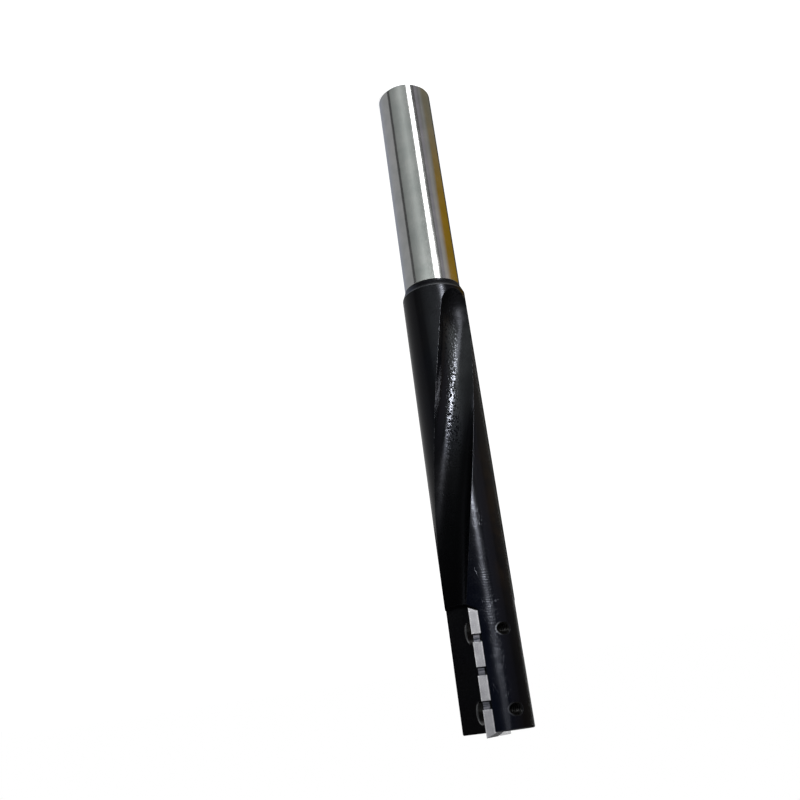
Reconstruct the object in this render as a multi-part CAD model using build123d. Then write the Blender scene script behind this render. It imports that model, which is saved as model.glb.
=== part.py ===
from build123d import *
import os
from math import asin, cos, degrees, radians, sin, sqrt, tan

# Mortise router bit with two reversible carbide knives, sizes in millimetres.
# The tool axis is Z. The flat shank end stands at Z = 0 and the cutting tip points up.
# The front knife's rake face lies in the plane X = 0 and faces -X, with its edge on the +Y side.
# Seen from the shank the tool turns clockwise, so the rake faces lead.

# Shank, gripped by the router's collet, with a narrow grinding relief against the shoulder
shank_diameter = 16.0
shank_length = 69.0
shank_end_chamfer = 0.9
shank_relief_width = 0.5
shank_relief_depth = 0.25

# Body: the slim fluted barrel between shank and tip
body_diameter = 18.0
body_length = 120.0
shoulder_chamfer_depth = 0.8
shoulder_chamfer_length = 2.0
tip_edge_break = 0.25

# Flutes: two troughs left by a ball-nosed cutter that follows a long right-hand helix
flute_depth = 4.2
flute_width = 10.3
flute_lead = 283.0
flute_end_to_shoulder = 2.8
flute_edge_behind_rake = 5.0
flute_overrun = 4.0

# Knives: flat reversible inserts, ground to an edge on all four sides
cutting_diameter = 20.0
knife_length = 30.0
knife_width = 9.0
knife_thickness = 2.0
knife_side_relief = 35.0
knife_end_relief = 25.0
knife_overhang = 1.0
knife_hole_diameter = 3.3

# Chip-breaker notches: this many on the working edge, and one fewer on the other, half a pitch aside
notch_pitch = 7.75
notch_width = 2.0
notch_depth = 0.7
notch_flank_angle = 15.0
notch_count = 3

# Pockets milled in the tip to seat the knives, with a shallow arc where the cutter ran out
pocket_end_clearance = 0.7
pocket_end_lean = 30.0
pocket_end_arc_width = 10.0
pocket_end_arc_depth = 1.3
pocket_floor_clearance = 0.05
pocket_corner_radius = 0.5

# Knife screws: low round heads on the rake face, threaded into the land behind the knife
screw_pitch = 18.7
screw_diameter = 3.0
screw_length = 5.0
screw_tip_chamfer = 0.4
screw_head_diameter = 5.6
screw_head_height = 2.4
screw_head_side_height = 1.8
screw_head_flat_diameter = 4.4
screw_hole_clearance = 0.04
socket_across_lobes = 2.8
socket_across_flats = 2.0
socket_depth = 1.2

# Places that follow from the sizes above
body_radius = body_diameter / 2
edge_radius = cutting_diameter / 2
tip_z = shank_length + body_length
knife_bottom_z = tip_z + knife_overhang - knife_length
knife_middle_z = knife_bottom_z + knife_length / 2
pocket_end_z = knife_bottom_z - pocket_end_clearance
pocket_floor_y = edge_radius - knife_width - pocket_floor_clearance
screw_y = edge_radius - knife_width / 2
screw_levels = [knife_middle_z - screw_pitch / 2, knife_middle_z + screw_pitch / 2]


def opposite(shape):
    """The same shape half a turn round the tool axis."""
    return Rot(0, 0, 180) * shape


def turned_blank():
    """The bar as it leaves the lathe: shank, relief, chamfered shoulder and plain barrel."""
    shank_radius = shank_diameter / 2
    shoulder_radius = body_radius - shoulder_chamfer_depth
    outline = Polyline(
        (0, 0),
        (shank_radius - shank_end_chamfer, 0),
        (shank_radius, shank_end_chamfer),
        (shank_radius, shank_length - shank_relief_width),
        (shank_radius - shank_relief_depth, shank_length - shank_relief_width),
        (shank_radius - shank_relief_depth, shank_length),
        (shoulder_radius, shank_length),
        (body_radius, shank_length + shoulder_chamfer_length),
        (body_radius, tip_z - tip_edge_break),
        (body_radius - tip_edge_break, tip_z),
        (0, tip_z),
        (0, 0),
    )
    return revolve(Plane.XZ * make_face(outline), Axis.Z)


def flute_cutter():
    """The space swept by the ball-nosed cutter, with its round end towards the shank."""
    half_angle = asin(flute_width / 2 / body_radius)
    floor_radius = body_radius - flute_depth
    chord_height = body_radius * cos(half_angle)
    ball_radius = (
        (body_radius**2 + floor_radius**2 - 2 * floor_radius * chord_height)
        / (2 * (chord_height - floor_radius))
    )
    path_radius = floor_radius + ball_radius
    ball_reach = sqrt(ball_radius**2 - (path_radius - body_radius) ** 2)
    start_z = shank_length + flute_end_to_shoulder + ball_reach
    end_z = pocket_end_z + flute_overrun
    angle_at_pocket = 90 + flute_edge_behind_rake + degrees(half_angle)
    start_angle = angle_at_pocket - 360 * (pocket_end_z - start_z) / flute_lead
    path = Pos(0, 0, start_z) * Rot(0, 0, start_angle) * Helix(flute_lead, end_z - start_z, path_radius)
    start_plane = Plane(origin=path @ 0, z_dir=path % 0)
    trough = sweep(start_plane * Circle(ball_radius), path=path, is_frenet=True)
    end_plane = Plane(origin=path @ 0, z_dir=-(path % 0))
    round_end = end_plane * Sphere(
        ball_radius, arc_size1=0, align=(Align.CENTER, Align.CENTER, Align.MIN)
    )
    return trough + round_end


def knife_pocket():
    """The milled step that the knife sits in, open to the side, the front and the tip.

    Its end wall is a shallow arc across the chip space and leans back beside the knife's end.
    """
    reach = body_diameter
    seat_end_z = pocket_end_z + knife_thickness * tan(radians(pocket_end_lean))
    top_z = tip_z + reach
    outline = FilletPolyline(
        (0, pocket_end_z),
        (knife_thickness, seat_end_z),
        (knife_thickness, top_z),
        (-reach, top_z),
        (-reach, pocket_end_z),
        (-pocket_end_arc_width, pocket_end_z),
        radius=(pocket_corner_radius, 0, 0, 0),
    )
    run_out = ThreePointArc(
        outline @ 1,
        (-pocket_end_arc_width / 2, pocket_end_z - pocket_end_arc_depth),
        outline @ 0,
    )
    profile = Plane.XZ.offset(-pocket_floor_y) * make_face(outline + run_out)
    return extrude(profile, -reach)


def screw_hole():
    """A tapped hole through the land, from the knife's seat out to the barrel's surface."""
    hole_radius = screw_diameter / 2 + screw_hole_clearance
    hole = Cylinder(hole_radius, body_diameter, align=(Align.CENTER, Align.CENTER, Align.MIN))
    return Rot(0, 90, 0) * hole


def cutter_body():
    body = turned_blank()
    flute = flute_cutter()
    pocket = knife_pocket()
    hole = screw_hole()
    body -= flute
    body -= opposite(flute)
    body -= pocket
    body -= opposite(pocket)
    for level in screw_levels:
        placed_hole = Pos(0, screw_y, level) * hole
        body -= placed_hole
        body -= opposite(placed_hole)
    return body


def notch_levels(count):
    """Notch middles along an edge, measured from the middle of the knife."""
    return [notch_pitch * (index - (count - 1) / 2) for index in range(count)]


def notch_cutter():
    """A trough across the knife's edge that follows the ground flank at an even depth."""
    flare = tan(radians(notch_flank_angle)) * notch_depth
    outline = Polyline(
        (-notch_width / 2 + flare, -notch_depth),
        (notch_width / 2 - flare, -notch_depth),
        (notch_width / 2 + flare, notch_depth),
        (-notch_width / 2 - flare, notch_depth),
        (-notch_width / 2 + flare, -notch_depth),
    )
    lean = Plane(
        origin=(0, 0, 0),
        x_dir=(0, 0, 1),
        z_dir=(cos(radians(knife_side_relief)), -sin(radians(knife_side_relief)), 0),
    )
    return extrude(lean * make_face(outline), knife_thickness * 2, both=True)


def knife():
    """One insert: a flat plate that narrows from its rake face to its seat on all four sides."""
    side_step = knife_thickness * tan(radians(knife_side_relief))
    end_step = knife_thickness * tan(radians(knife_end_relief))
    rake_face = Plane.YZ * Rectangle(knife_width, knife_length)
    seat_face = Plane.YZ.offset(knife_thickness) * Rectangle(
        knife_width - 2 * side_step, knife_length - 2 * end_step
    )
    plate = loft([rake_face.face(), seat_face.face()], ruled=True)
    notch = notch_cutter()
    for level in notch_levels(notch_count):
        plate -= Pos(0, knife_width / 2, level) * notch
    for level in notch_levels(notch_count - 1):
        plate -= Pos(0, -knife_width / 2, level) * (Rot(180, 0, 0) * notch)
    bore = Rot(0, 90, 0) * Cylinder(knife_hole_diameter / 2, 4 * knife_thickness)
    for offset in (-screw_pitch / 2, screw_pitch / 2):
        plate -= Pos(0, 0, offset) * bore
    return Pos(0, screw_y, knife_middle_z) * plate


def lobed_socket():
    """The six-lobed driver recess, drawn as a six-pointed star of flat flanks."""
    corner_radii = [socket_across_lobes / 2, socket_across_flats / 2] * 6
    corners = [
        (radius * cos(radians(30 * step)), radius * sin(radians(30 * step)))
        for step, radius in enumerate(corner_radii)
    ]
    return extrude(make_face(Polyline(*corners, close=True)), socket_depth)


def screw():
    """A low round-head screw along +X: its head bears on X = 0 and its thread runs to +X.

    The round of the head's edge is turned as two bevels whose corners lie on a quarter ellipse.
    """
    head_radius = screw_head_diameter / 2
    flat_radius = screw_head_flat_diameter / 2
    thread_radius = screw_diameter / 2
    crown_height = screw_head_height - screw_head_side_height
    outline = Polyline(
        (0, screw_length),
        (thread_radius - screw_tip_chamfer, screw_length),
        (thread_radius, screw_length - screw_tip_chamfer),
        (thread_radius, 0),
        (head_radius, 0),
        (head_radius, -screw_head_side_height),
        (
            flat_radius + (head_radius - flat_radius) * cos(radians(45)),
            -screw_head_side_height - crown_height * sin(radians(45)),
        ),
        (flat_radius, -screw_head_height),
        (0, -screw_head_height),
        (0, screw_length),
    )
    blank = revolve(Plane.XZ * make_face(outline), Axis.Z)
    blank -= Pos(0, 0, -screw_head_height) * lobed_socket()
    return Rot(0, 90, 0) * blank


def knife_screws():
    """All four screws: two through each knife."""
    placed = [Pos(0, screw_y, level) * screw() for level in screw_levels]
    return Compound(children=placed + [opposite(one) for one in placed])


def write_parts():
    front_knife = knife()
    nodes = {
        "cutter_body": cutter_body(),
        "knife_front": front_knife,
        "knife_back": opposite(front_knife),
        "knife_screws": knife_screws(),
    }
    os.makedirs("parts", exist_ok=True)
    for name, shape in nodes.items():
        export_step(shape, f"parts/{name}.step")


write_parts()
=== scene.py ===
import math

import bmesh
import bpy
from mathutils import Matrix, Vector


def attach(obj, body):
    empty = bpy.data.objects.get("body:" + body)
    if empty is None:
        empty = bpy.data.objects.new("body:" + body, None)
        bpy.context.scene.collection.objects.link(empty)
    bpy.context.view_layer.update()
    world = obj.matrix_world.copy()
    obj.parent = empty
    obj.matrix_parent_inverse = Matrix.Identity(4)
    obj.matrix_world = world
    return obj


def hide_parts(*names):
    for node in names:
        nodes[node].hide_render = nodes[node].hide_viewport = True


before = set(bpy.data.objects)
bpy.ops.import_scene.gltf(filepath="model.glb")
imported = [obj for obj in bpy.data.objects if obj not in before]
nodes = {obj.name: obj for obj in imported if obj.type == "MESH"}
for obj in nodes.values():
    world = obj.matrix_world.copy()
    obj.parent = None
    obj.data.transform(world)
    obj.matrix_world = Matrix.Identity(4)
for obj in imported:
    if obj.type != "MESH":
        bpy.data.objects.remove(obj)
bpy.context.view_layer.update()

# The viewpoint. A hand-held camera close to the tip, with the shank end at the top of the picture.
# Its place and its axes are given in the tool's own frame.
camera_place = Vector((0.068522, 0.218655, 0.185296))
picture_right = Vector((0.911465, -0.393315, 0.120561))
picture_up = Vector((0.242314, 0.276476, -0.929970))
lens_for_36_mm_width = 39.53

scene = bpy.context.scene
camera_data = bpy.data.cameras.new("camera")
camera_data.lens = lens_for_36_mm_width
camera_data.sensor_width = 36
camera_data.clip_start = 0.005
camera_data.clip_end = 50
camera = bpy.data.objects.new("camera", camera_data)
towards_camera = picture_right.cross(picture_up)
axes = Matrix((picture_right, picture_up, towards_camera)).transposed()
camera.matrix_world = Matrix.Translation(camera_place) @ axes.to_4x4()
scene.collection.objects.link(camera)
scene.camera = camera
scene.view_settings.view_transform = "Standard"

# The studio. A pale floor under the shank end, a white surround, tall lamps beside the camera, and
# tall upright cards that only polished metal reflects.
room_fill = 0.5
white = (1, 1, 1, 1)


def feed(tree, node, inputs):
    """Sets each input of a node to a plain value, or links it to the socket that feeds it."""
    for key, value in inputs.items():
        socket = node.inputs[key]
        if isinstance(value, bpy.types.NodeSocket):
            tree.links.new(value, socket)
        else:
            socket.default_value = value


def add(tree, kind, inputs=None, **settings):
    """Adds a node with its settings and its inputs."""
    node = tree.nodes.new(kind)
    for key, value in settings.items():
        setattr(node, key, value)
    feed(tree, node, inputs or {})
    return node


def calc(tree, operation, *values):
    """A Math node's output, for one, two or three inputs."""
    return add(tree, "ShaderNodeMath", dict(enumerate(values)), operation=operation).outputs[0]


def chain(tree, operation, values):
    """One operation carried through a row of inputs."""
    result = values[0]
    for value in values[1:]:
        result = calc(tree, operation, result, value)
    return result


def multiply(tree, *values):
    """The product of two or more inputs."""
    return chain(tree, "MULTIPLY", values)


def highest(tree, *values):
    """The highest of two or more inputs."""
    return chain(tree, "MAXIMUM", values)


def new_material(name):
    """A material with an empty node tree, and the tree."""
    material = bpy.data.materials.new(name)
    material.use_nodes = True
    tree = material.node_tree
    tree.nodes.clear()
    return material, tree


def seen_directly(tree):
    """1 for rays that show the backdrop: to the camera, and off or through shiny things."""
    path = add(tree, "ShaderNodeLightPath").outputs
    kinds = ("Is Camera Ray", "Is Glossy Ray", "Is Transmission Ray")
    return highest(tree, *[path[kind] for kind in kinds])


world = bpy.data.worlds.new("studio")
scene.world = world
world.use_nodes = True
sky = world.node_tree
sky.nodes.clear()
levels = {"Value": seen_directly(sky), "To Min": room_fill, "To Max": 1.0}
brightness = add(sky, "ShaderNodeMapRange", levels).outputs[0]
background = add(sky, "ShaderNodeBackground", {"Color": white, "Strength": brightness})
add(sky, "ShaderNodeOutputWorld", {"Surface": background.outputs[0]})

floor_reach = 3.0
floor_grey = (0.8, 0.8, 0.8, 1)
floor_lift = 0.7
floor_material, tree = new_material("pale floor")
paint = add(tree, "ShaderNodeBsdfDiffuse", {"Color": floor_grey})
lift = multiply(tree, seen_directly(tree), floor_lift)
glow = add(tree, "ShaderNodeEmission", {"Color": white, "Strength": lift})
both = add(tree, "ShaderNodeAddShader", {0: paint.outputs[0], 1: glow.outputs[0]})
add(tree, "ShaderNodeOutputMaterial", {"Surface": both.outputs[0]})

floor_mesh = bpy.data.meshes.new("floor")
corners = [(-1, -1), (1, -1), (1, 1), (-1, 1)]
floor_points = [(x * floor_reach, y * floor_reach, 0) for x, y in corners]
floor_mesh.from_pydata(floor_points, [], [(0, 1, 2, 3)])
floor = bpy.data.objects.new("floor", floor_mesh)
floor_mesh.materials.append(floor_material)
scene.collection.objects.link(floor)
floor.visible_glossy = False
floor.visible_shadow = False

card_material, tree = new_material("studio card")
tone = add(tree, "ShaderNodeAttribute", attribute_name="tone").outputs["Color"]
glow = add(tree, "ShaderNodeEmission", {"Color": tone, "Strength": 1.0})
add(tree, "ShaderNodeOutputMaterial", {"Surface": glow.outputs[0]})
card_material.cycles.emission_sampling = "NONE"

# Cards and lamps are placed as seen from the middle of the tool: by degrees round from the camera
# towards the picture's right, and by degrees above the horizon.
camera_azimuth = 72.6
middle_height = 0.1
card_distance = 0.9
lamp_distance = 0.8
fewest_steps = 6
degrees_a_step = 20


def bearing(degrees_round):
    """The angle round Z of a thing that stands so far round from the camera."""
    return math.radians(camera_azimuth - degrees_round)


def height_at(distance, elevation):
    """How high a thing stands that is seen at an elevation from the middle of the tool."""
    return middle_height + distance * math.tan(math.radians(elevation))


def even(tone):
    """The tones of a card whose left and right sides are alike."""
    return (tone, tone)


def card(name, sides, heights, top_tones, foot_tones=None):
    """A curved card that nothing but polished metal sees. It reaches from one side to the other
    and from its foot to its top. The tones are those of its left and right sides."""
    steps = fewest_steps + int((sides[1] - sides[0]) / degrees_a_step)
    points = []
    tones = []
    for step in range(steps + 1):
        share = step / steps
        angle = bearing(sides[0] + (sides[1] - sides[0]) * share)
        x = card_distance * math.cos(angle)
        y = card_distance * math.sin(angle)
        for elevation, side_tones in zip(heights, (foot_tones or top_tones, top_tones)):
            points.append((x, y, height_at(card_distance, elevation)))
            tones.append(side_tones[0].lerp(side_tones[1], share))
    faces = [(2 * step, 2 * step + 1, 2 * step + 3, 2 * step + 2) for step in range(steps)]
    mesh = bpy.data.meshes.new(name)
    mesh.from_pydata(points, [], faces)
    tone_layer = mesh.color_attributes.new("tone", "FLOAT_COLOR", "POINT")
    for point, tone in zip(tone_layer.data, tones):
        point.color = (*tone, 1)
    mesh.materials.append(card_material)
    panel = bpy.data.objects.new(name, mesh)
    scene.collection.objects.link(panel)
    panel.visible_camera = False
    panel.visible_diffuse = False
    panel.visible_shadow = False


grey = Vector((1, 1, 1))
mauve = Vector((1.02, 0.97, 1.05))
warm_grey = Vector((1.06, 1, 0.94))
cool = Vector((0.95, 1, 0.97))
gold = Vector((0.29, 0.165, 0.012))
pale_gold = Vector((0.215, 0.19, 0.13))
shade = Vector((0.075, 0.07, 0.06))
warm_light = Vector((0.44, 0.40, 0.36))
warm_shade = Vector((0.12, 0.105, 0.09))

# Elevations on the room's walls. The lamp's lower edge is near the sill.
wall_foot = -60
lit_foot = -45
skirting_foot = -41
edge_foot = -36
band_foot = -35
gap_top = -27.5
band_top = -27.2
sill = -26.6
right_rail = -16
lintel = -13
left_rail = -10
far_sill = -4
wood_rail = 5
picture_rail = 8
ceiling = 40
curtain_top = 70
joint = 0.1

card("left wall", (-185, -76), (wall_foot, left_rail), (grey * 0.44, grey * 0.36))
card("gap between the walls", (-76, -64), (wall_foot, gap_top), even(grey * 0.08))
card("wall above the gap", (-76, -64), (gap_top + joint, left_rail), even(grey * 0.26))
card("front wall, left third", (-64, -45), (wall_foot, left_rail), (cool * 0.27, cool * 0.35))
card("front wall under the window", (-45, -40), (wall_foot, sill), (cool * 0.35, cool * 0.37))
card("front wall, middle", (-40, -14), (wall_foot, sill), (cool * 0.37, cool * 0.59))
card("front wall, right third", (-14, 17), (wall_foot, sill), (cool * 0.59, cool * 0.33))
card(
    "hazy window, left half", (-45, -14), (sill + joint, lintel),
    (cool * 0.6, cool * 1.5), (cool * 0.8, cool * 2.5),
)
card(
    "hazy window, right half", (-14, 21), (sill + joint, lintel),
    (cool * 1.5, cool * 2.0), (cool * 2.5, cool * 4.0),
)
card("dark curtain behind", (-185, -150), (left_rail + joint, ceiling), even(grey * 0.06))
card("side window", (-150, -105), (left_rail + joint, 25), even(grey * 0.35))
card("dark curtain", (-105, -45), (left_rail + joint, curtain_top), even(grey * 0.06))
card("dark curtain's middle", (-45, -14), (lintel + joint, curtain_top), even(grey * 0.06))
card(
    "dark curtain's right end", (-14, 17), (lintel + joint, ceiling), (grey * 0.06, grey * 0.10)
)
card("wall above the lamp", (17, 24), (lintel + joint, ceiling), (grey * 0.12, grey * 0.25))
card(
    "pale post above the lamp", (24, 38.5), (lintel + joint, 6),
    (grey * 2.3, grey * 2.2), even(grey * 1.1),
)
card("dark screen", (37, 52), (wall_foot, lintel), (grey * 0.05, grey * 0.07))
card("dark screen above the lamp", (38.5, 52), (lintel + joint, ceiling), even(grey * 0.07))
card("right wall, left part", (52, 66), (wall_foot, right_rail), (mauve * 0.24, mauve * 0.26))
card(
    "right wall, lit part", (66, 76), (lit_foot, band_top),
    (warm_grey * 0.40, warm_grey * 0.41), even(grey * 0.17),
)
card("right wall, lit part's foot", (66, 76), (wall_foot, lit_foot), even(grey * 0.17))
card("right wall, upper part", (66, 85), (band_top, right_rail), (mauve * 0.26, mauve * 0.27))
card(
    "right wall above the lamp", (52, 85), (right_rail + joint, picture_rail),
    even(mauve * 0.15), (mauve * 0.95, mauve * 0.5),
)
card(
    "right wall under the ceiling", (52, 85), (picture_rail, ceiling),
    (mauve * 0.15, mauve * 0.17),
)
card(
    "wooden wall's edge", (76, 96), (edge_foot, band_top),
    (warm_grey * 0.41, gold), (grey * 0.30, gold),
)
card(
    "wooden wall's lower edge", (76, 96), (wall_foot, edge_foot),
    (grey * 0.30, pale_gold), (grey * 0.17, pale_gold),
)
card(
    "wooden wall's upper edge", (85, 91), (band_top, wood_rail),
    (grey * 0.13, warm_shade), (grey * 0.38, warm_light),
)
card(
    "wooden wall above the lamp", (91, 142), (band_top, wood_rail),
    (warm_shade, shade), (warm_light, shade),
)
card("wooden wall under the ceiling", (85, 142), (wood_rail, ceiling), (warm_shade, shade))
card("wooden wall's lit band", (96, 145), (band_foot, band_top), even(gold))
card(
    "wooden wall's skirting", (96, 145), (skirting_foot, band_foot),
    even(gold), even(pale_gold),
)
card(
    "wooden wall's foot", (96, 145), (wall_foot, skirting_foot),
    even(pale_gold), even(grey * 0.2),
)
card("far corner", (145, 175), (wall_foot, far_sill), (shade * 0.7, grey * 0.05))
card("dark ground round the stand", (-180, 180), (-80, wall_foot), even(grey * 0.12))
card("far window", (141.5, 147), (far_sill + joint, picture_rail), even(grey * 2.0))
card("far corner above the window", (142, 175), (picture_rail, ceiling), even(grey * 0.1))
card("far corner beside the window", (147, 175), (far_sill, picture_rail), even(grey * 0.1))


def lamp(name, degrees_round, width, heights, radiance):
    """An upright lamp that faces the tool, from its foot to its top."""
    bottom, top = [height_at(lamp_distance, elevation) for elevation in heights]
    data = bpy.data.lights.new(name, "AREA")
    data.shape = "RECTANGLE"
    data.size = 2 * lamp_distance * math.tan(math.radians(width / 2))
    data.size_y = top - bottom
    data.energy = radiance * math.pi * data.size * data.size_y
    light = bpy.data.objects.new(name, data)
    angle = bearing(degrees_round)
    x = lamp_distance * math.cos(angle)
    y = lamp_distance * math.sin(angle)
    light.location = (x, y, (bottom + top) / 2)
    light.rotation_euler = (math.pi / 2, 0, angle + math.pi / 2)
    light.visible_camera = False
    scene.collection.objects.link(light)
    return light


lamp("strip lamp", 27.6, width=15, heights=(-48, -25), radiance=4.5)
spot = lamp("spot lamp", 33, width=7.5, heights=(-21.5, -16.5), radiance=520)
spot.visible_diffuse = False

# Cutter body. One bar of tool steel: turned, with two helical flutes milled by a ball-nosed
# cutter, pocketed for the knives and tapped from behind them. It is blackened all over in a hot
# oxide bath, and the shank is then ground bright between centres up to its relief.
mm = 0.001
shank_end = 68.5 * mm
shoulder = 69.0 * mm
chamfer_top = 71.0 * mm
barrel_radius = 9.0 * mm
pocket_end = 159.3 * mm
flute_lead = 283.0 * mm
flute_angle_at_pocket = math.radians(129.9)
flute_start = flute_angle_at_pocket - 2 * math.pi * pocket_end / flute_lead
knife_thickness = 2.0 * mm
screw_offset = 5.5 * mm
screw_levels = (165.65 * mm, 184.35 * mm)
level_names = ("upper", "lower")
hole_radius = 1.54 * mm


def new_group(name, inputs, outputs):
    """A shader node group, its input sockets and its output node."""
    group = bpy.data.node_groups.new(name, "ShaderNodeTree")
    kinds = {"float": "NodeSocketFloat", "vector": "NodeSocketVector"}
    for socket, (kind, value) in inputs.items():
        made = group.interface.new_socket(socket, in_out="INPUT", socket_type=kinds[kind])
        if value is not None:
            made.default_value = value
    for socket, kind in outputs.items():
        group.interface.new_socket(socket, in_out="OUTPUT", socket_type=kinds[kind])
    given = group.nodes.new("NodeGroupInput").outputs
    return group, given, group.nodes.new("NodeGroupOutput")


def use(tree, group, inputs):
    """Places a node group in a material and returns its outputs."""
    return add(tree, "ShaderNodeGroup", inputs, node_tree=group).outputs


def total(tree, *values):
    """The sum of two or more inputs."""
    return chain(tree, "ADD", values)


def all_but(tree, mask):
    """The mask of everything that a mask leaves out."""
    return calc(tree, "SUBTRACT", 1.0, mask)


def distance(tree, across, along):
    """The straight distance, from two distances at right angles."""
    squares = total(tree, multiply(tree, across, across), multiply(tree, along, along))
    return calc(tree, "SQRT", squares)


def split(tree, vector):
    """The three coordinates of a place or a direction."""
    return tuple(add(tree, "ShaderNodeSeparateXYZ", {0: vector}).outputs)


def join(tree, x, y, z):
    """A place from its three coordinates."""
    return add(tree, "ShaderNodeCombineXYZ", {0: x, 1: y, 2: z}).outputs[0]


def ramp(tree, value, low, high, to_low=0.0, to_high=1.0, smooth=True):
    """Maps a value between two limits to another pair, held at the ends."""
    limits = {"From Min": low, "From Max": high, "To Min": to_low, "To Max": to_high}
    kind = "SMOOTHSTEP" if smooth else "LINEAR"
    inputs = {"Value": value, **limits}
    return add(tree, "ShaderNodeMapRange", inputs, interpolation_type=kind).outputs[0]


def between(tree, value, start, full, fading, end):
    """Rises from 0 at its start to 1, and falls to 0 again at its end."""
    return multiply(tree, ramp(tree, value, start, full), ramp(tree, value, end, fading))


def blend_colour(tree, share, first, second):
    """A colour between two others."""
    inputs = {0: share, 6: first, 7: second}
    return add(tree, "ShaderNodeMix", inputs, data_type="RGBA").outputs[2]


def blend_value(tree, share, first, second):
    """A number between two others."""
    inputs = {0: share, 2: first, 3: second}
    return add(tree, "ShaderNodeMix", inputs, data_type="FLOAT").outputs[0]


def noise(tree, place, scale, detail=2.0, rough=0.5):
    """A noise about zero, from -0.5 to 0.5."""
    inputs = {"Vector": place, "Scale": scale, "Detail": detail, "Roughness": rough}
    return calc(tree, "SUBTRACT", add(tree, "ShaderNodeTexNoise", inputs).outputs[0], 0.5)


def vary(tree, value, to_low=0.0, to_high=1.0, reach=0.2):
    """Turns a noise about zero into a soft change from one number to another."""
    return ramp(tree, value, -reach, reach, to_low, to_high)


def bumped(tree, height, under=None):
    """The normal of a surface with a relief of a real height, in metres, on it or on another
    normal that lies under it."""
    inputs = {"Height": height, "Strength": 1.0, "Distance": 1.0}
    if under is not None:
        inputs["Normal"] = under
    return add(tree, "ShaderNodeBump", inputs).outputs[0]


def set_finish(tree, finish):
    """Gives a material its Principled shader."""
    shader = add(tree, "ShaderNodeBsdfPrincipled", finish)
    add(tree, "ShaderNodeOutputMaterial", {"Surface": shader.outputs[0]})


# Effects that several of the finishes use. Rounded edge: an edge's soft turn, and its wear.
rounded_edge, given, out = new_group(
    "rounded edge", {"Radius": ("float", 0.1 * mm)}, {"Normal": "vector", "Wear": "float"}
)
crease_reach = 0.6 * mm
soft = add(rounded_edge, "ShaderNodeBevel", {"Radius": given["Radius"]}, samples=6).outputs[0]
plain = add(rounded_edge, "ShaderNodeNewGeometry").outputs["Normal"]
turned = add(rounded_edge, "ShaderNodeVectorMath", {0: soft, 1: plain}, operation="DOT_PRODUCT")
openness = add(
    rounded_edge,
    "ShaderNodeAmbientOcclusion",
    {"Distance": crease_reach},
    samples=4,
    only_local=True,
)
slight_turn, full_turn = 0.995, 0.90
closed, open_all_round = 0.80, 0.98
patches_a_metre = 700.0
sharp = ramp(rounded_edge, turned.outputs["Value"], slight_turn, full_turn)
convex = ramp(rounded_edge, openness.outputs["AO"], closed, open_all_round)
place = add(rounded_edge, "ShaderNodeTexCoord").outputs["Object"]
patchy = vary(rounded_edge, noise(rounded_edge, place, patches_a_metre, 3.0), reach=0.12)
feed(rounded_edge, out, {"Normal": soft, "Wear": multiply(rounded_edge, sharp, convex, patchy)})

# Tool lines: the fine ridges of turning or grinding, drawn out along the X and Y of a place.
tool_lines, given, out = new_group(
    "tool lines",
    {"Place": ("vector", None), "Pitch": ("float", 0.3 * mm), "Stretch": ("float", 0.12)},
    {"Height": "float"},
)
x, y, z = split(tool_lines, given["Place"])
long_x = multiply(tool_lines, x, given["Stretch"])
long_y = multiply(tool_lines, y, given["Stretch"])
scale = calc(tool_lines, "DIVIDE", 1.0, given["Pitch"])
lines = noise(tool_lines, join(tool_lines, long_x, long_y, z), scale, 3.0, 0.6)
patches_a_metre = 250.0
faint, strong = 0.2, 1.8
uneven = noise(tool_lines, given["Place"], patches_a_metre)
uneven = ramp(tool_lines, uneven, -0.22, 0.22, faint, strong, smooth=False)
feed(tool_lines, out, {"Height": multiply(tool_lines, lines, uneven)})

# Pitted grain: a fine grain, with a share of its cells sunk as round pits.
pitted_grain, given, out = new_group(
    "pitted grain",
    {"Place": ("vector", None), "Grain": ("float", 0.35 * mm), "Pit share": ("float", 0.3)},
    {"Height": "float", "Pits": "float"},
)
scale = calc(pitted_grain, "DIVIDE", 1.0, given["Grain"])
fine = noise(pitted_grain, given["Place"], scale, 3.0, 0.65)
cell_size = {"Vector": given["Place"], "Scale": scale}
cells = add(pitted_grain, "ShaderNodeTexVoronoi", cell_size, feature="F1").outputs
cell_lot = add(pitted_grain, "ShaderNodeSeparateColor", {0: cells["Color"]}).outputs[0]
chosen = calc(pitted_grain, "LESS_THAN", cell_lot, given["Pit share"])
pit_rim, pit_floor, pit_depth = 0.60, 0.30, 0.5
pits = multiply(pitted_grain, ramp(pitted_grain, cells["Distance"], pit_rim, pit_floor), chosen)
dented = calc(pitted_grain, "SUBTRACT", fine, multiply(pitted_grain, pits, pit_depth))
feed(pitted_grain, out, {"Height": dented, "Pits": pits})

# Fine scratches: patches of thin straight scratches that lean three ways.
scratches, given, out = new_group(
    "fine scratches", {"Place": ("vector", None), "Share": ("float", 0.5)}, {"Mask": "float"}
)
scratch_shape = (260, 260, 4200)
few, many = 0.26, 0.16
patches_a_metre = 120.0
threshold = ramp(scratches, given["Share"], 0.0, 1.0, few, many, smooth=False)
patches = ramp(scratches, noise(scratches, given["Place"], patches_a_metre), 0.0, 0.16)
ways = []
for lean, shift in ((12, 0.0), (-38, 3.1), (71, 7.7)):
    turning = {
        "Vector": given["Place"],
        "Location": (shift, shift, 0),
        "Rotation": (0, math.radians(lean), 0),
    }
    turned = add(scratches, "ShaderNodeMapping", turning).outputs[0]
    pair = {0: turned, 1: scratch_shape}
    drawn_out = add(scratches, "ShaderNodeVectorMath", pair, operation="MULTIPLY").outputs[0]
    line = calc(scratches, "SUBTRACT", noise(scratches, drawn_out, 1.0, 0.0), threshold)
    ways.append(ramp(scratches, line, 0.0, 0.03))
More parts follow.
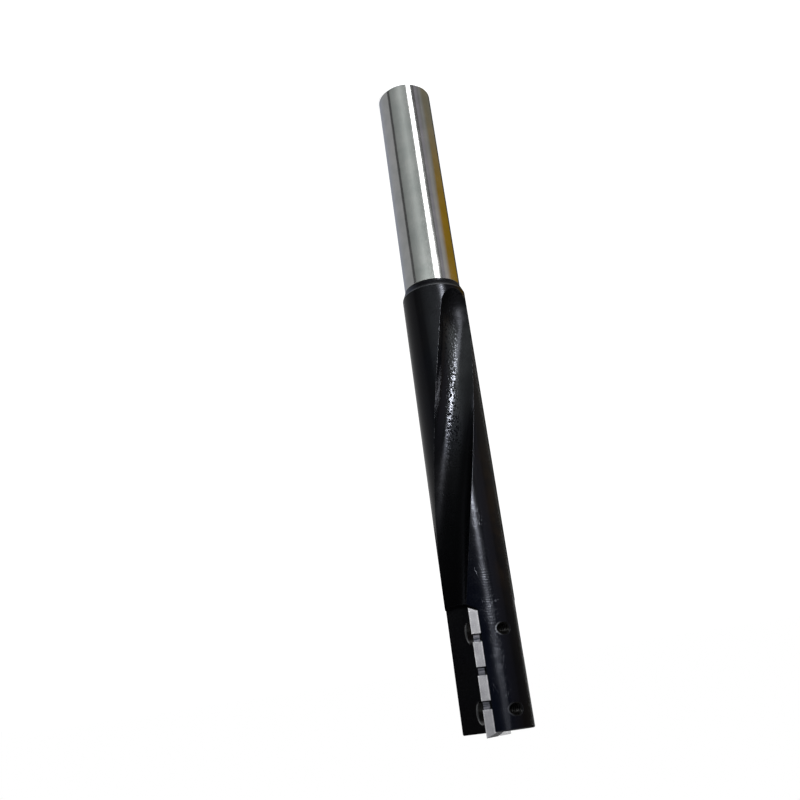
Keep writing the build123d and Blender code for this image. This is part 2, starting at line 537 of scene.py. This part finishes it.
feed(scratches, out, {"Mask": multiply(scratches, highest(scratches, *ways), patches)})

body_material, tree = new_material("ground and blackened steel")
place = add(tree, "ShaderNodeTexCoord").outputs["Object"]
facing = split(tree, add(tree, "ShaderNodeNewGeometry").outputs["True Normal"])
x, y, z = split(tree, place)

# Where each finish lies: ground shank, shoulder, turned land, milled hollows and tapped holes.
# The tool's two halves are alike, so the places across it and out to its edge count for both.
radius = distance(tree, x, y)
across = multiply(tree, x, calc(tree, "SIGN", y))
out_to_edge = calc(tree, "ABSOLUTE", y)
end_face = calc(tree, "GREATER_THAN", calc(tree, "ABSOLUTE", facing[2]), 0.97)
ground = ramp(tree, z, shank_end + 0.02 * mm, shank_end - 0.02 * mm)
blackened = all_but(tree, ground)
on_barrel = calc(tree, "GREATER_THAN", z, chamfer_top - 0.05 * mm)
past_shoulder = calc(tree, "GREATER_THAN", z, shoulder + 0.03 * mm)
chamfer = multiply(tree, blackened, all_but(tree, on_barrel), past_shoulder)
at_surface = ramp(tree, radius, barrel_radius - 0.10 * mm, barrel_radius - 0.04 * mm)
land = multiply(tree, at_surface, on_barrel)
hollow = multiply(tree, all_but(tree, land), on_barrel)
pocket = multiply(tree, hollow, ramp(tree, z, pocket_end - 1.2 * mm, pocket_end + 0.2 * mm))
flute = calc(tree, "SUBTRACT", hollow, pocket)
beside = calc(tree, "SUBTRACT", out_to_edge, screw_offset)
rises = [calc(tree, "SUBTRACT", z, level) for level in screw_levels]
from_hole = chain(tree, "MINIMUM", [distance(tree, beside, rise) for rise in rises])
behind_knife = calc(tree, "GREATER_THAN", across, knife_thickness + 0.05 * mm)
in_bore = calc(tree, "LESS_THAN", from_hole, hole_radius + 0.01 * mm)
in_hole = multiply(tree, in_bore, behind_knife)
# The hole's mouth: a painted highlight along the rim on its outer side, fainter on the lower holes.
mouth = ramp(tree, from_hole, hole_radius + 0.34 * mm, hole_radius + 0.22 * mm)
glint_side = ramp(tree, out_to_edge, screw_offset + 0.4 * mm, screw_offset + 1.3 * mm)
fainter_glint_low = ramp(tree, z, 172 * mm, 178 * mm, 1.0, 0.4)
mouth = multiply(tree, mouth, land, glint_side, fainter_glint_low)

edge = use(tree, rounded_edge, {"Radius": 0.12 * mm})
grain = use(tree, pitted_grain, {"Place": place, "Grain": 0.62 * mm, "Pit share": 0.7})
rings = use(tree, tool_lines, {"Place": place, "Pitch": 0.34 * mm, "Stretch": 0.12})
fine_rings = use(tree, tool_lines, {"Place": place, "Pitch": 0.12 * mm, "Stretch": 0.12})
on_end = join(tree, 0.0, 0.0, radius)
end_rings = use(tree, tool_lines, {"Place": on_end, "Pitch": 0.35 * mm, "Stretch": 0.12})
scuff = use(tree, scratches, {"Place": place, "Share": 0.55})
slow = noise(tree, place, 45.0, 3.0)
medium = noise(tree, place, 160.0, 4.0, 0.6)

# What lies on the flutes: a grey along their middle on one wall, partly the oxide's own tone and
# partly painted light, and pits where the streak is speckled.
# wall_side runs from -1 on one wall of a flute to 1 on the other, alike in both flutes.
speckle_end = (128 * mm, 112 * mm)
grey_and_painted_light_reach = (79 * mm, 84 * mm, 84 * mm, 118 * mm)
painted_end_shade_reach = (82 * mm, 76 * mm)
dull_reach = (107 * mm, 124 * mm)
round_flute = total(tree, multiply(tree, z, 2 * math.pi / flute_lead), flute_start)
off_centre = calc(tree, "SUBTRACT", calc(tree, "ARCTAN2", y, x), round_flute)
wall_side = calc(tree, "SINE", multiply(tree, off_centre, 2.0))
speckled = between(tree, wall_side, -0.80, -0.30, 0.50, 0.80)
speckled = multiply(tree, speckled, flute, ramp(tree, z, *speckle_end))
specks = multiply(tree, grain["Pits"], speckled)
near_wall = ramp(tree, wall_side, 0.85, -0.25)
far_wall = ramp(tree, wall_side, -1.0, -0.4, 0.45, 1.0)
along_flute = between(tree, z, *grey_and_painted_light_reach)
mottle = vary(tree, medium, 0.7, 1.1)
unspecked = all_but(tree, multiply(tree, specks, 0.8))
grey_and_painted_light = multiply(tree, near_wall, far_wall, flute, along_flute, mottle, unspecked)
# The flute's end by the shank is painted nearly black, a painted shade that also hides its
# reflections. Towards the tip the flute has a dark, dull end.
painted_end_shade = ramp(tree, z, *painted_end_shade_reach, 0.0, 0.7)
dull_end = ramp(tree, z, *dull_reach, 0.0, 0.75)
shaded_and_dulled = multiply(tree, flute, highest(tree, painted_end_shade, dull_end))

# What lies on the turned land: blue and straw oxide tints, bare rubbed edges, and a painted
# highlight at each hole.
blue_reach = (130 * mm, 165 * mm)
straw_reach = (112 * mm, 125 * mm, 150 * mm, 165 * mm)
round_land = calc(tree, "ARCTAN2", out_to_edge, across)
blue_side = ramp(tree, round_land, 0.5, 1.0)
blue_end = multiply(tree, land, ramp(tree, z, *blue_reach), blue_side)
straw_side = ramp(tree, round_land, 0.8, 0.4)
straw_patches = ramp(tree, medium, -0.15, 0.2)
straw = multiply(tree, land, between(tree, z, *straw_reach), straw_side, straw_patches)
wear_and_glint = highest(tree, multiply(tree, edge["Wear"], 0.45), multiply(tree, mouth, 0.35))
bare = multiply(tree, wear_and_glint, all_but(tree, in_hole), blackened)
# The chamfer grows lighter towards the barrel: rubbed steel, and a painted highlight along its
# edge.
rising = ramp(tree, z, shoulder + 0.5 * mm, chamfer_top, smooth=False)
wear_and_highlight_on_chamfer = multiply(tree, calc(tree, "POWER", rising, 4.0), vary(tree, medium, 0.8, 1.2))

ground_steel = ((0.55, 0.565, 0.56, 1), (0.66, 0.66, 0.655, 1))
black_oxide = ((0.0014, 0.0017, 0.0034, 1), (0.0026, 0.0021, 0.0024, 1))
blue_oxide = (0.0014, 0.0025, 0.0078, 1)
straw_oxide = (0.0130, 0.0075, 0.0035, 1)
# A grey for one flute wall: partly the oxide's tone, partly painted light on the wall that faces
# the bright side.
grey_and_painted_light_colour = (0.078, 0.084, 0.086, 1)
# Near-black for the flutes' ends: painted shade by the shank, a dull tone towards the tip.
shade_and_dull_black = (0.0065, 0.0068, 0.0075, 1)
bare_steel = (0.16, 0.165, 0.175, 1)
# Chamfer tones: dark by the shoulder, light by the barrel, where the painted highlight lies.
chamfer_steel = ((0.018, 0.018, 0.020, 1), (0.24, 0.245, 0.26, 1))
bright = blend_colour(tree, vary(tree, medium), *ground_steel)
colour = blend_colour(tree, vary(tree, slow, reach=0.12), *black_oxide)
colour = blend_colour(tree, blue_end, colour, blue_oxide)
colour = blend_colour(tree, straw, colour, straw_oxide)
colour = blend_colour(tree, ground, colour, bright)
colour = blend_colour(tree, grey_and_painted_light, colour, grey_and_painted_light_colour)
colour = blend_colour(tree, bare, colour, bare_steel)
colour = blend_colour(tree, chamfer, colour, blend_colour(tree, wear_and_highlight_on_chamfer, *chamfer_steel))
colour = blend_colour(tree, shaded_and_dulled, colour, shade_and_dull_black)
metal = highest(tree, ground, bare, chamfer, shaded_and_dulled, specks)

roughness = {
    "shank": 0.12,
    "land": 0.19,
    "pocket": 0.30,
    "hole": 0.6,
    "specks": 0.8,
    "bare edges": 0.38,
    "scratches": 0.4,
}
scratched = multiply(tree, scuff["Mask"], land)
unevenness = ramp(tree, medium, -0.2, 0.2, -0.03, 0.03, smooth=False)
unevenness = multiply(tree, unevenness, all_but(tree, multiply(tree, ground, 0.6)))
flute_middle = ramp(tree, z, 77 * mm, 83 * mm, 0.45, 0.18)
flute_rough = total(tree, flute_middle, ramp(tree, z, 112 * mm, 124 * mm, 0.0, 0.1))
rough = blend_value(tree, land, roughness["pocket"], roughness["land"])
rough = blend_value(tree, flute, rough, flute_rough)
rough = blend_value(tree, specks, rough, roughness["specks"])
rough = blend_value(tree, ground, rough, roughness["shank"])
rough = blend_value(tree, in_hole, rough, roughness["hole"])
rough = blend_value(tree, ramp(tree, bare, 0.0, 0.3), rough, roughness["bare edges"])
rough = total(tree, rough, unevenness)
rough = blend_value(tree, multiply(tree, scratched, 0.3), rough, roughness["scratches"])

# The relief. Along one line on the land the turning tool left a ladder of ticks, and swarf left
# two places with curled scuffs.
marked_line = math.radians(55)
ladder_reach = (149 * mm, 153 * mm, 166 * mm, 170 * mm)
scuff_reaches = (
    (135 * mm, 137 * mm, 139 * mm, 141 * mm),
    (166 * mm, 168 * mm, 173 * mm, 177 * mm),
)
tick_pitch = 0.62 * mm
tick_wander = 26.0
off_mark = calc(tree, "ABSOLUTE", calc(tree, "SUBTRACT", round_land, marked_line))
ladder = between(tree, z, *ladder_reach)
ladder = multiply(tree, ladder, ramp(tree, off_mark, math.radians(11), math.radians(6)))
tick_turns = multiply(tree, z, 2 * math.pi / tick_pitch)
tick_phase = total(tree, tick_turns, multiply(tree, medium, tick_wander))
broken = vary(tree, medium, 0.4, 1.0, reach=0.1)
ticks = multiply(tree, calc(tree, "SINE", tick_phase), ladder, broken)
curls = ramp(tree, calc(tree, "ABSOLUTE", noise(tree, place, 1300.0, 1.0)), 0.045, 0.0)
scuffs = highest(tree, *[between(tree, z, *reach) for reach in scuff_reaches])
curls = multiply(tree, curls, scuffs, ramp(tree, off_mark, 0.2, 0.12))
relief = {
    "flute grain": 0.010 * mm,
    "flute pits": 0.06 * mm,
    "pocket grain": 0.02 * mm,
    "land grain": 0.005 * mm,
    "land waves": 0.022 * mm,
    "turning rings": 0.010 * mm,
    "ticks": 0.0065 * mm,
    "curls": -0.012 * mm,
    "scratches": -0.009 * mm,
    "grinding rings": 0.0015 * mm,
    "shank waves": 0.12 * mm,
    "end rings": 0.02 * mm,
}
in_flute = ramp(tree, speckled, 0.0, 1.0, relief["flute grain"], relief["flute pits"], smooth=False)
height = total(
    tree,
    multiply(tree, grain["Height"], flute, in_flute),
    multiply(tree, grain["Height"], pocket, relief["pocket grain"]),
    multiply(tree, grain["Height"], land, relief["land grain"]),
    multiply(tree, medium, land, relief["land waves"]),
    multiply(tree, rings["Height"], land, relief["turning rings"]),
    multiply(tree, ticks, land, relief["ticks"]),
    multiply(tree, curls, land, relief["curls"]),
    multiply(tree, scratched, relief["scratches"]),
    multiply(tree, fine_rings["Height"], ground, relief["grinding rings"]),
    multiply(tree, slow, ground, relief["shank waves"]),
    multiply(tree, end_rings["Height"], end_face, relief["end rings"]),
)

tangent = add(tree, "ShaderNodeTangent", direction_type="RADIAL", axis="Z")
finish = {
    "Base Color": colour,
    "Metallic": metal,
    "Roughness": rough,
    "IOR": 1.28,
    "Specular Tint": (0.83, 0.87, 1.0, 1),
    "Anisotropic": 0.4,
    "Anisotropic Rotation": 0.25,
    "Tangent": tangent.outputs[0],
    "Normal": bumped(tree, height, edge["Normal"]),
}
set_finish(tree, finish)
nodes["cutter_body"].data.materials.clear()
nodes["cutter_body"].data.materials.append(body_material)

# Knives. Two reversible plates of tungsten carbide, ground all round to sharp edges, with
# chip-breaker notches ground across the long edges. Each is held in its pocket by two screws.
knife_half_width = 4.5 * mm
flank_lean = math.radians(35)

knife_material, tree = new_material("ground carbide")
place = add(tree, "ShaderNodeTexCoord").outputs["Object"]
facing = split(tree, add(tree, "ShaderNodeNewGeometry").outputs["True Normal"])
x, y, z = split(tree, place)
side = calc(tree, "SIGN", y)
depth_in_plate = multiply(tree, x, side)
outward = calc(tree, "SUBTRACT", calc(tree, "ABSOLUTE", y), screw_offset)
from_middle = calc(tree, "ABSOLUTE", outward)
past_edge = calc(tree, "SUBTRACT", from_middle, knife_half_width)
past_edge = multiply(tree, past_edge, math.cos(flank_lean))
over_flank = total(tree, past_edge, multiply(tree, depth_in_plate, math.sin(flank_lean)))
leaning = multiply(tree, facing[0], side, math.sin(flank_lean))
upright = multiply(tree, facing[1], side, calc(tree, "SIGN", outward), math.cos(flank_lean))
on_flank = calc(tree, "GREATER_THAN", total(tree, leaning, upright), 0.9)
on_rake = calc(tree, "LESS_THAN", multiply(tree, facing[0], side), -0.9)
notch = multiply(tree, on_flank, calc(tree, "LESS_THAN", over_flank, -0.3 * mm))
unnotched = all_but(tree, notch)
over_width = multiply(tree, calc(tree, "SUBTRACT", depth_in_plate, from_middle), 0.7)

edge = use(tree, rounded_edge, {"Radius": 0.03 * mm})
along_edge = join(tree, z, 0.0, over_width)
grinding = use(tree, tool_lines, {"Place": along_edge, "Pitch": 0.14 * mm, "Stretch": 0.03})
wheel = use(tree, tool_lines, {"Place": place, "Pitch": 0.30 * mm, "Stretch": 0.05})
grain = use(tree, pitted_grain, {"Place": place, "Grain": 0.16 * mm, "Pit share": 0.25})
cloud = noise(tree, place, 260.0, 3.0, 0.6)
streaks = ramp(tree, grinding["Height"], -0.22, 0.22, smooth=False)
near_edge = ramp(tree, depth_in_plate, 0.30 * mm, 0.10 * mm)
near_seat = ramp(tree, depth_in_plate, 1.55 * mm, 1.80 * mm)
honed_patches = ramp(tree, cloud, -0.2, 0.1, 0.5, 1.0)
honed = multiply(tree, highest(tree, near_edge, near_seat), on_flank, honed_patches)
honed = multiply(tree, highest(tree, honed, edge["Wear"]), unnotched)

fresh_carbide = ((0.235, 0.237, 0.255, 1), (0.355, 0.355, 0.372, 1))
streak_grey = (0.170, 0.170, 0.186, 1)
pit_grey = (0.11, 0.11, 0.12, 1)
notch_floor = ((0.006, 0.007, 0.009, 1), (0.042, 0.042, 0.048, 1))
honed_grey = (0.50, 0.50, 0.52, 1)
lapped_grey = (0.70, 0.70, 0.72, 1)
colour = blend_colour(tree, vary(tree, cloud), *fresh_carbide)
colour = blend_colour(tree, multiply(tree, streaks, 0.5), colour, streak_grey)
colour = blend_colour(tree, multiply(tree, grain["Pits"], 0.55), colour, pit_grey)
shadowed = blend_colour(tree, vary(tree, wheel["Height"], reach=0.15), *notch_floor)
colour = blend_colour(tree, notch, colour, shadowed)
colour = blend_colour(tree, multiply(tree, honed, 0.55), colour, honed_grey)
colour = blend_colour(tree, on_rake, colour, lapped_grey)

roughness = {"fresh": 0.16, "streaks": 0.23, "rake face": 0.16, "pits": 0.55, "notches": 0.45}
relief = {"grinding lines": 0.006 * mm, "notch lines": 0.06 * mm, "grain": 0.006 * mm}
satin_shine = 0.35
rough = blend_value(tree, streaks, roughness["fresh"], roughness["streaks"])
rough = blend_value(tree, on_rake, rough, roughness["rake face"])
rough = blend_value(tree, multiply(tree, grain["Pits"], 0.5), rough, roughness["pits"])
rough = blend_value(tree, notch, rough, roughness["notches"])
height = total(
    tree,
    multiply(tree, grinding["Height"], unnotched, relief["grinding lines"]),
    multiply(tree, wheel["Height"], notch, relief["notch lines"]),
    multiply(tree, grain["Height"], relief["grain"]),
)
finish = {
    "Base Color": colour,
    "Metallic": blend_value(tree, notch, satin_shine, 1.0),
    "Roughness": rough,
    "Normal": bumped(tree, height, edge["Normal"]),
}
set_finish(tree, finish)
for name in ("knife_front", "knife_back"):
    nodes[name].data.materials.clear()
    nodes[name].data.materials.append(knife_material)

# Knife screws. Four M3 steel screws with low round heads and six-lobed recesses, cold-headed,
# thread rolled and blackened. Each passes through a knife and screws into the land behind it.
thread_pitch = 0.5 * mm
thread_depth = 0.27 * mm
thread_crest = 0.28
flank_slope = 2.6
screw_radius = 1.5 * mm
screw_end = 5.0 * mm
head_radius = 2.8 * mm
head_height = 2.4 * mm
head_flat_radius = 2.2 * mm
head_round = 0.6 * mm
head_break = 0.06 * mm
screw_steps = 96
rim_place = head_round - head_height
recess_depth = 1.2 * mm
recess_radius = 1.42 * mm
lobe_depth = 0.40 * mm

screw_material, tree = new_material("blackened screw steel")
place = add(tree, "ShaderNodeTexCoord").outputs["Object"]
x, y, z = split(tree, place)
edge = use(tree, rounded_edge, {"Radius": 0.05 * mm})
grain = use(tree, pitted_grain, {"Place": place, "Grain": 0.22 * mm, "Pit share": 0.2})
cloud = noise(tree, place, 500.0, 3.0)
depth_in_plate = multiply(tree, x, calc(tree, "SIGN", y))
# The rim of each head is bare steel: partly wear, partly a painted highlight.
rim = ramp(tree, depth_in_plate, rim_place + 0.12 * mm, rim_place - 0.05 * mm)
rim = multiply(tree, rim, ramp(tree, depth_in_plate, -head_height, -head_height + 0.1 * mm))
wear_and_glint = highest(tree, multiply(tree, edge["Wear"], 0.7), multiply(tree, rim, 0.55))
screw_oxide = ((0.0025, 0.0026, 0.0032, 1), (0.006, 0.0055, 0.005, 1))
colour = blend_colour(tree, vary(tree, cloud), *screw_oxide)
height = multiply(tree, grain["Height"], 0.008 * mm)
finish = {
    "Base Color": blend_colour(tree, wear_and_glint, colour, bare_steel),
    "Metallic": wear_and_glint,
    "Roughness": blend_value(tree, grain["Pits"], 0.27, 0.45),
    "IOR": 1.3,
    "Normal": bumped(tree, height, edge["Normal"]),
}
set_finish(tree, finish)


def thread_wave(along, turn):
    """How deep in a right-hand thread's groove a point lies: 0 on the crest, 1 at the root."""
    phase = (along / thread_pitch - turn / (2 * math.pi)) % 1.0
    return min(1.0, max(0.0, abs(phase - 0.5) * flank_slope - thread_crest))


def plain_ring(along, radius):
    """A round ring: the same place along the screw and the same radius all round."""
    return lambda turn: (along, radius)


def threaded_ring(along, fade):
    """A ring through the thread, which fades into its root where it runs out."""
    root = screw_radius - thread_depth
    return lambda turn: (along, root + thread_depth * fade * (1 - thread_wave(along, turn)))


def lobed_ring(along, outset):
    """A ring round the six-lobed recess, or a little outside or inside its wall."""

    def point(turn):
        dip = lobe_depth * (math.sin(3 * turn) ** 2) ** 0.75
        return along, recess_radius - dip + outset

    return point


def screw_profile():
    """The rings of a screw, from its thread end over its head to the floor of its recess."""
    root = screw_radius - thread_depth
    thread_top = 0.35 * mm
    thread_end = screw_end - 0.3 * mm
    thread_rings = 84
    run_out_rings = 6
    round_rings = 8
    rings = [
        plain_ring(screw_end, 0.0),
        plain_ring(screw_end, root - 0.1 * mm),
        plain_ring(screw_end - 0.12 * mm, root),
    ]
    for index in range(thread_rings + 1):
        along = thread_end + (thread_top - thread_end) * index / thread_rings
        from_end = min(index, thread_rings - index)
        rings.append(threaded_ring(along, min(1.0, from_end / run_out_rings)))
    rings.append(plain_ring(0.0, screw_radius))
    rings.append(plain_ring(0.0, head_radius - head_break))
    rings.append(plain_ring(-head_break, head_radius))
    for index in range(round_rings + 1):
        angle = math.radians(90 * index / round_rings)
        radius = head_flat_radius + (head_radius - head_flat_radius) * math.cos(angle)
        rings.append(plain_ring(rim_place - head_round * math.sin(angle), radius))
    recess_floor = -head_height + recess_depth
    rings.append(lobed_ring(-head_height, 0.35 * mm))
    rings.append(lobed_ring(-head_height, 0.07 * mm))
    rings.append(lobed_ring(-head_height + 0.06 * mm, 0.0))
    rings.append(lobed_ring(recess_floor - 0.1 * mm, -0.02 * mm))
    rings.append(lobed_ring(recess_floor, -0.12 * mm))
    rings.append(plain_ring(recess_floor + 0.15 * mm, 0.0))
    return rings


def add_ring(shape, steps, point):
    """Adds a ring of points round the X axis, each from its place along it and its radius."""
    ring = []
    for step in range(steps):
        turn = 2 * math.pi * step / steps
        along, radius = point(turn)
        ring.append(shape.verts.new((along, radius * math.cos(turn), radius * math.sin(turn))))
    return ring


def join_rings(shape, first, second):
    """Adds the band of faces between two rings."""
    for step in range(len(first)):
        other = (step + 1) % len(first)
        shape.faces.new((first[step], first[other], second[other], second[step]))


def place_in_hole(shape, level, half_turn):
    """Turns a shape's faces outwards and moves it to its hole, or half a turn round from there."""
    bmesh.ops.recalc_face_normals(shape, faces=shape.faces)
    bmesh.ops.translate(shape, verts=shape.verts, vec=(0, screw_offset, level))
    if half_turn:
        turned_round = Matrix.Rotation(math.pi, 3, "Z")
        bmesh.ops.rotate(shape, verts=shape.verts, cent=(0, 0, 0), matrix=turned_round)


def new_piece(name, shape, material, crease):
    """An object from a shape: smooth, but crisp where faces meet at more than the crease angle."""
    for face in shape.faces:
        face.smooth = True
    for one_edge in shape.edges:
        one_edge.smooth = one_edge.calc_face_angle(0.0) < math.radians(crease)
    mesh = bpy.data.meshes.new(name)
    shape.to_mesh(mesh)
    shape.free()
    mesh.materials.append(material)
    piece = bpy.data.objects.new(name, mesh)
    scene.collection.objects.link(piece)
    return piece


def build_screw(name, level, half_turn):
    """One screw along +X through its knife, or along -X for the knife on the far side."""
    shape = bmesh.new()
    rings = [add_ring(shape, screw_steps, point) for point in screw_profile()]
    for first, second in zip(rings, rings[1:]):
        join_rings(shape, first, second)
    bmesh.ops.remove_doubles(shape, verts=shape.verts, dist=0.0005 * mm)
    place_in_hole(shape, level, half_turn)
    screw = new_piece(name, shape, screw_material, crease=40)
    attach(screw, "root")
    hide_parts("knife_screws")


for level, level_name in zip(screw_levels, level_names):
    build_screw(f"front_knife_{level_name}_screw", level, False)
    build_screw(f"back_knife_{level_name}_screw", level, True)

# Tapped threads. The land behind each knife is drilled through and tapped M3, so beyond the
# screw's end the bare thread runs on to the hole's mouth in the barrel's surface.
thread_start = screw_end + 0.06 * mm
crest_radius = 1.25 * mm
root_radius = 1.50 * mm
skin_radius = 1.535 * mm
mouth_setback = 0.08 * mm
bore_steps = 64
bore_rings = 54
opening_rings = 3

thread_material, tree = new_material("tapped steel")
place = add(tree, "ShaderNodeTexCoord").outputs["Object"]
grain = use(tree, pitted_grain, {"Place": place, "Grain": 0.2 * mm, "Pit share": 0.3})
cloud = noise(tree, place, 900.0, 3.0)
bore_oxide = ((0.0010, 0.0010, 0.0013, 1), (0.0028, 0.0025, 0.0022, 1))
height = multiply(tree, grain["Height"], 0.01 * mm)
finish = {
    "Base Color": blend_colour(tree, ramp(tree, cloud, -0.1, 0.2), *bore_oxide),
    "Roughness": blend_value(tree, grain["Pits"], 0.35, 0.5),
    "IOR": 1.2,
    "Normal": bumped(tree, height),
}
set_finish(tree, finish)


def mouth_reach(turn):
    """How far out along X the hole stays inside the barrel, at an angle round the hole."""
    reaches = []
    for radius in (crest_radius, skin_radius):
        off_axis = screw_offset + radius * math.cos(turn)
        reaches.append(math.sqrt(barrel_radius**2 - off_axis**2))
    return min(reaches) - mouth_setback


def along_bore(turn, share):
    """The place along the hole at a share of the way from the screw's end to the mouth."""
    return thread_start + (mouth_reach(turn) - thread_start) * share


def bore_ring(index):
    """A ring through the tapped thread, which opens to its root at the hole's mouth."""
    opening = max(0.0, 1 - (bore_rings - index) / opening_rings)

    def point(turn):
        along = along_bore(turn, index / bore_rings)
        depth = max(thread_wave(along, turn), opening)
        return along, crest_radius + (root_radius - crest_radius) * depth

    return point


def skin_ring(share):
    """A ring of the sleeve's plain outside, at a share of the way to the mouth."""
    return lambda turn: (along_bore(turn, share), skin_radius)


def build_tapped_thread(name, level, half_turn):
    """The thread inside one hole's mouth: a closed sleeve, ridged within and plain without."""
    shape = bmesh.new()
    rings = [add_ring(shape, bore_steps, bore_ring(index)) for index in range(bore_rings + 1)]
    for share in (1, 0):
        rings.append(add_ring(shape, bore_steps, skin_ring(share)))
    for first, second in zip(rings, rings[1:] + rings[:1]):
        join_rings(shape, first, second)
    place_in_hole(shape, level, half_turn)
    sleeve = new_piece(name, shape, thread_material, crease=50)
    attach(sleeve, "root")


for level, level_name in zip(screw_levels, level_names):
    build_tapped_thread(f"front_{level_name}_tapped_thread", level, False)
    build_tapped_thread(f"back_{level_name}_tapped_thread", level, True)
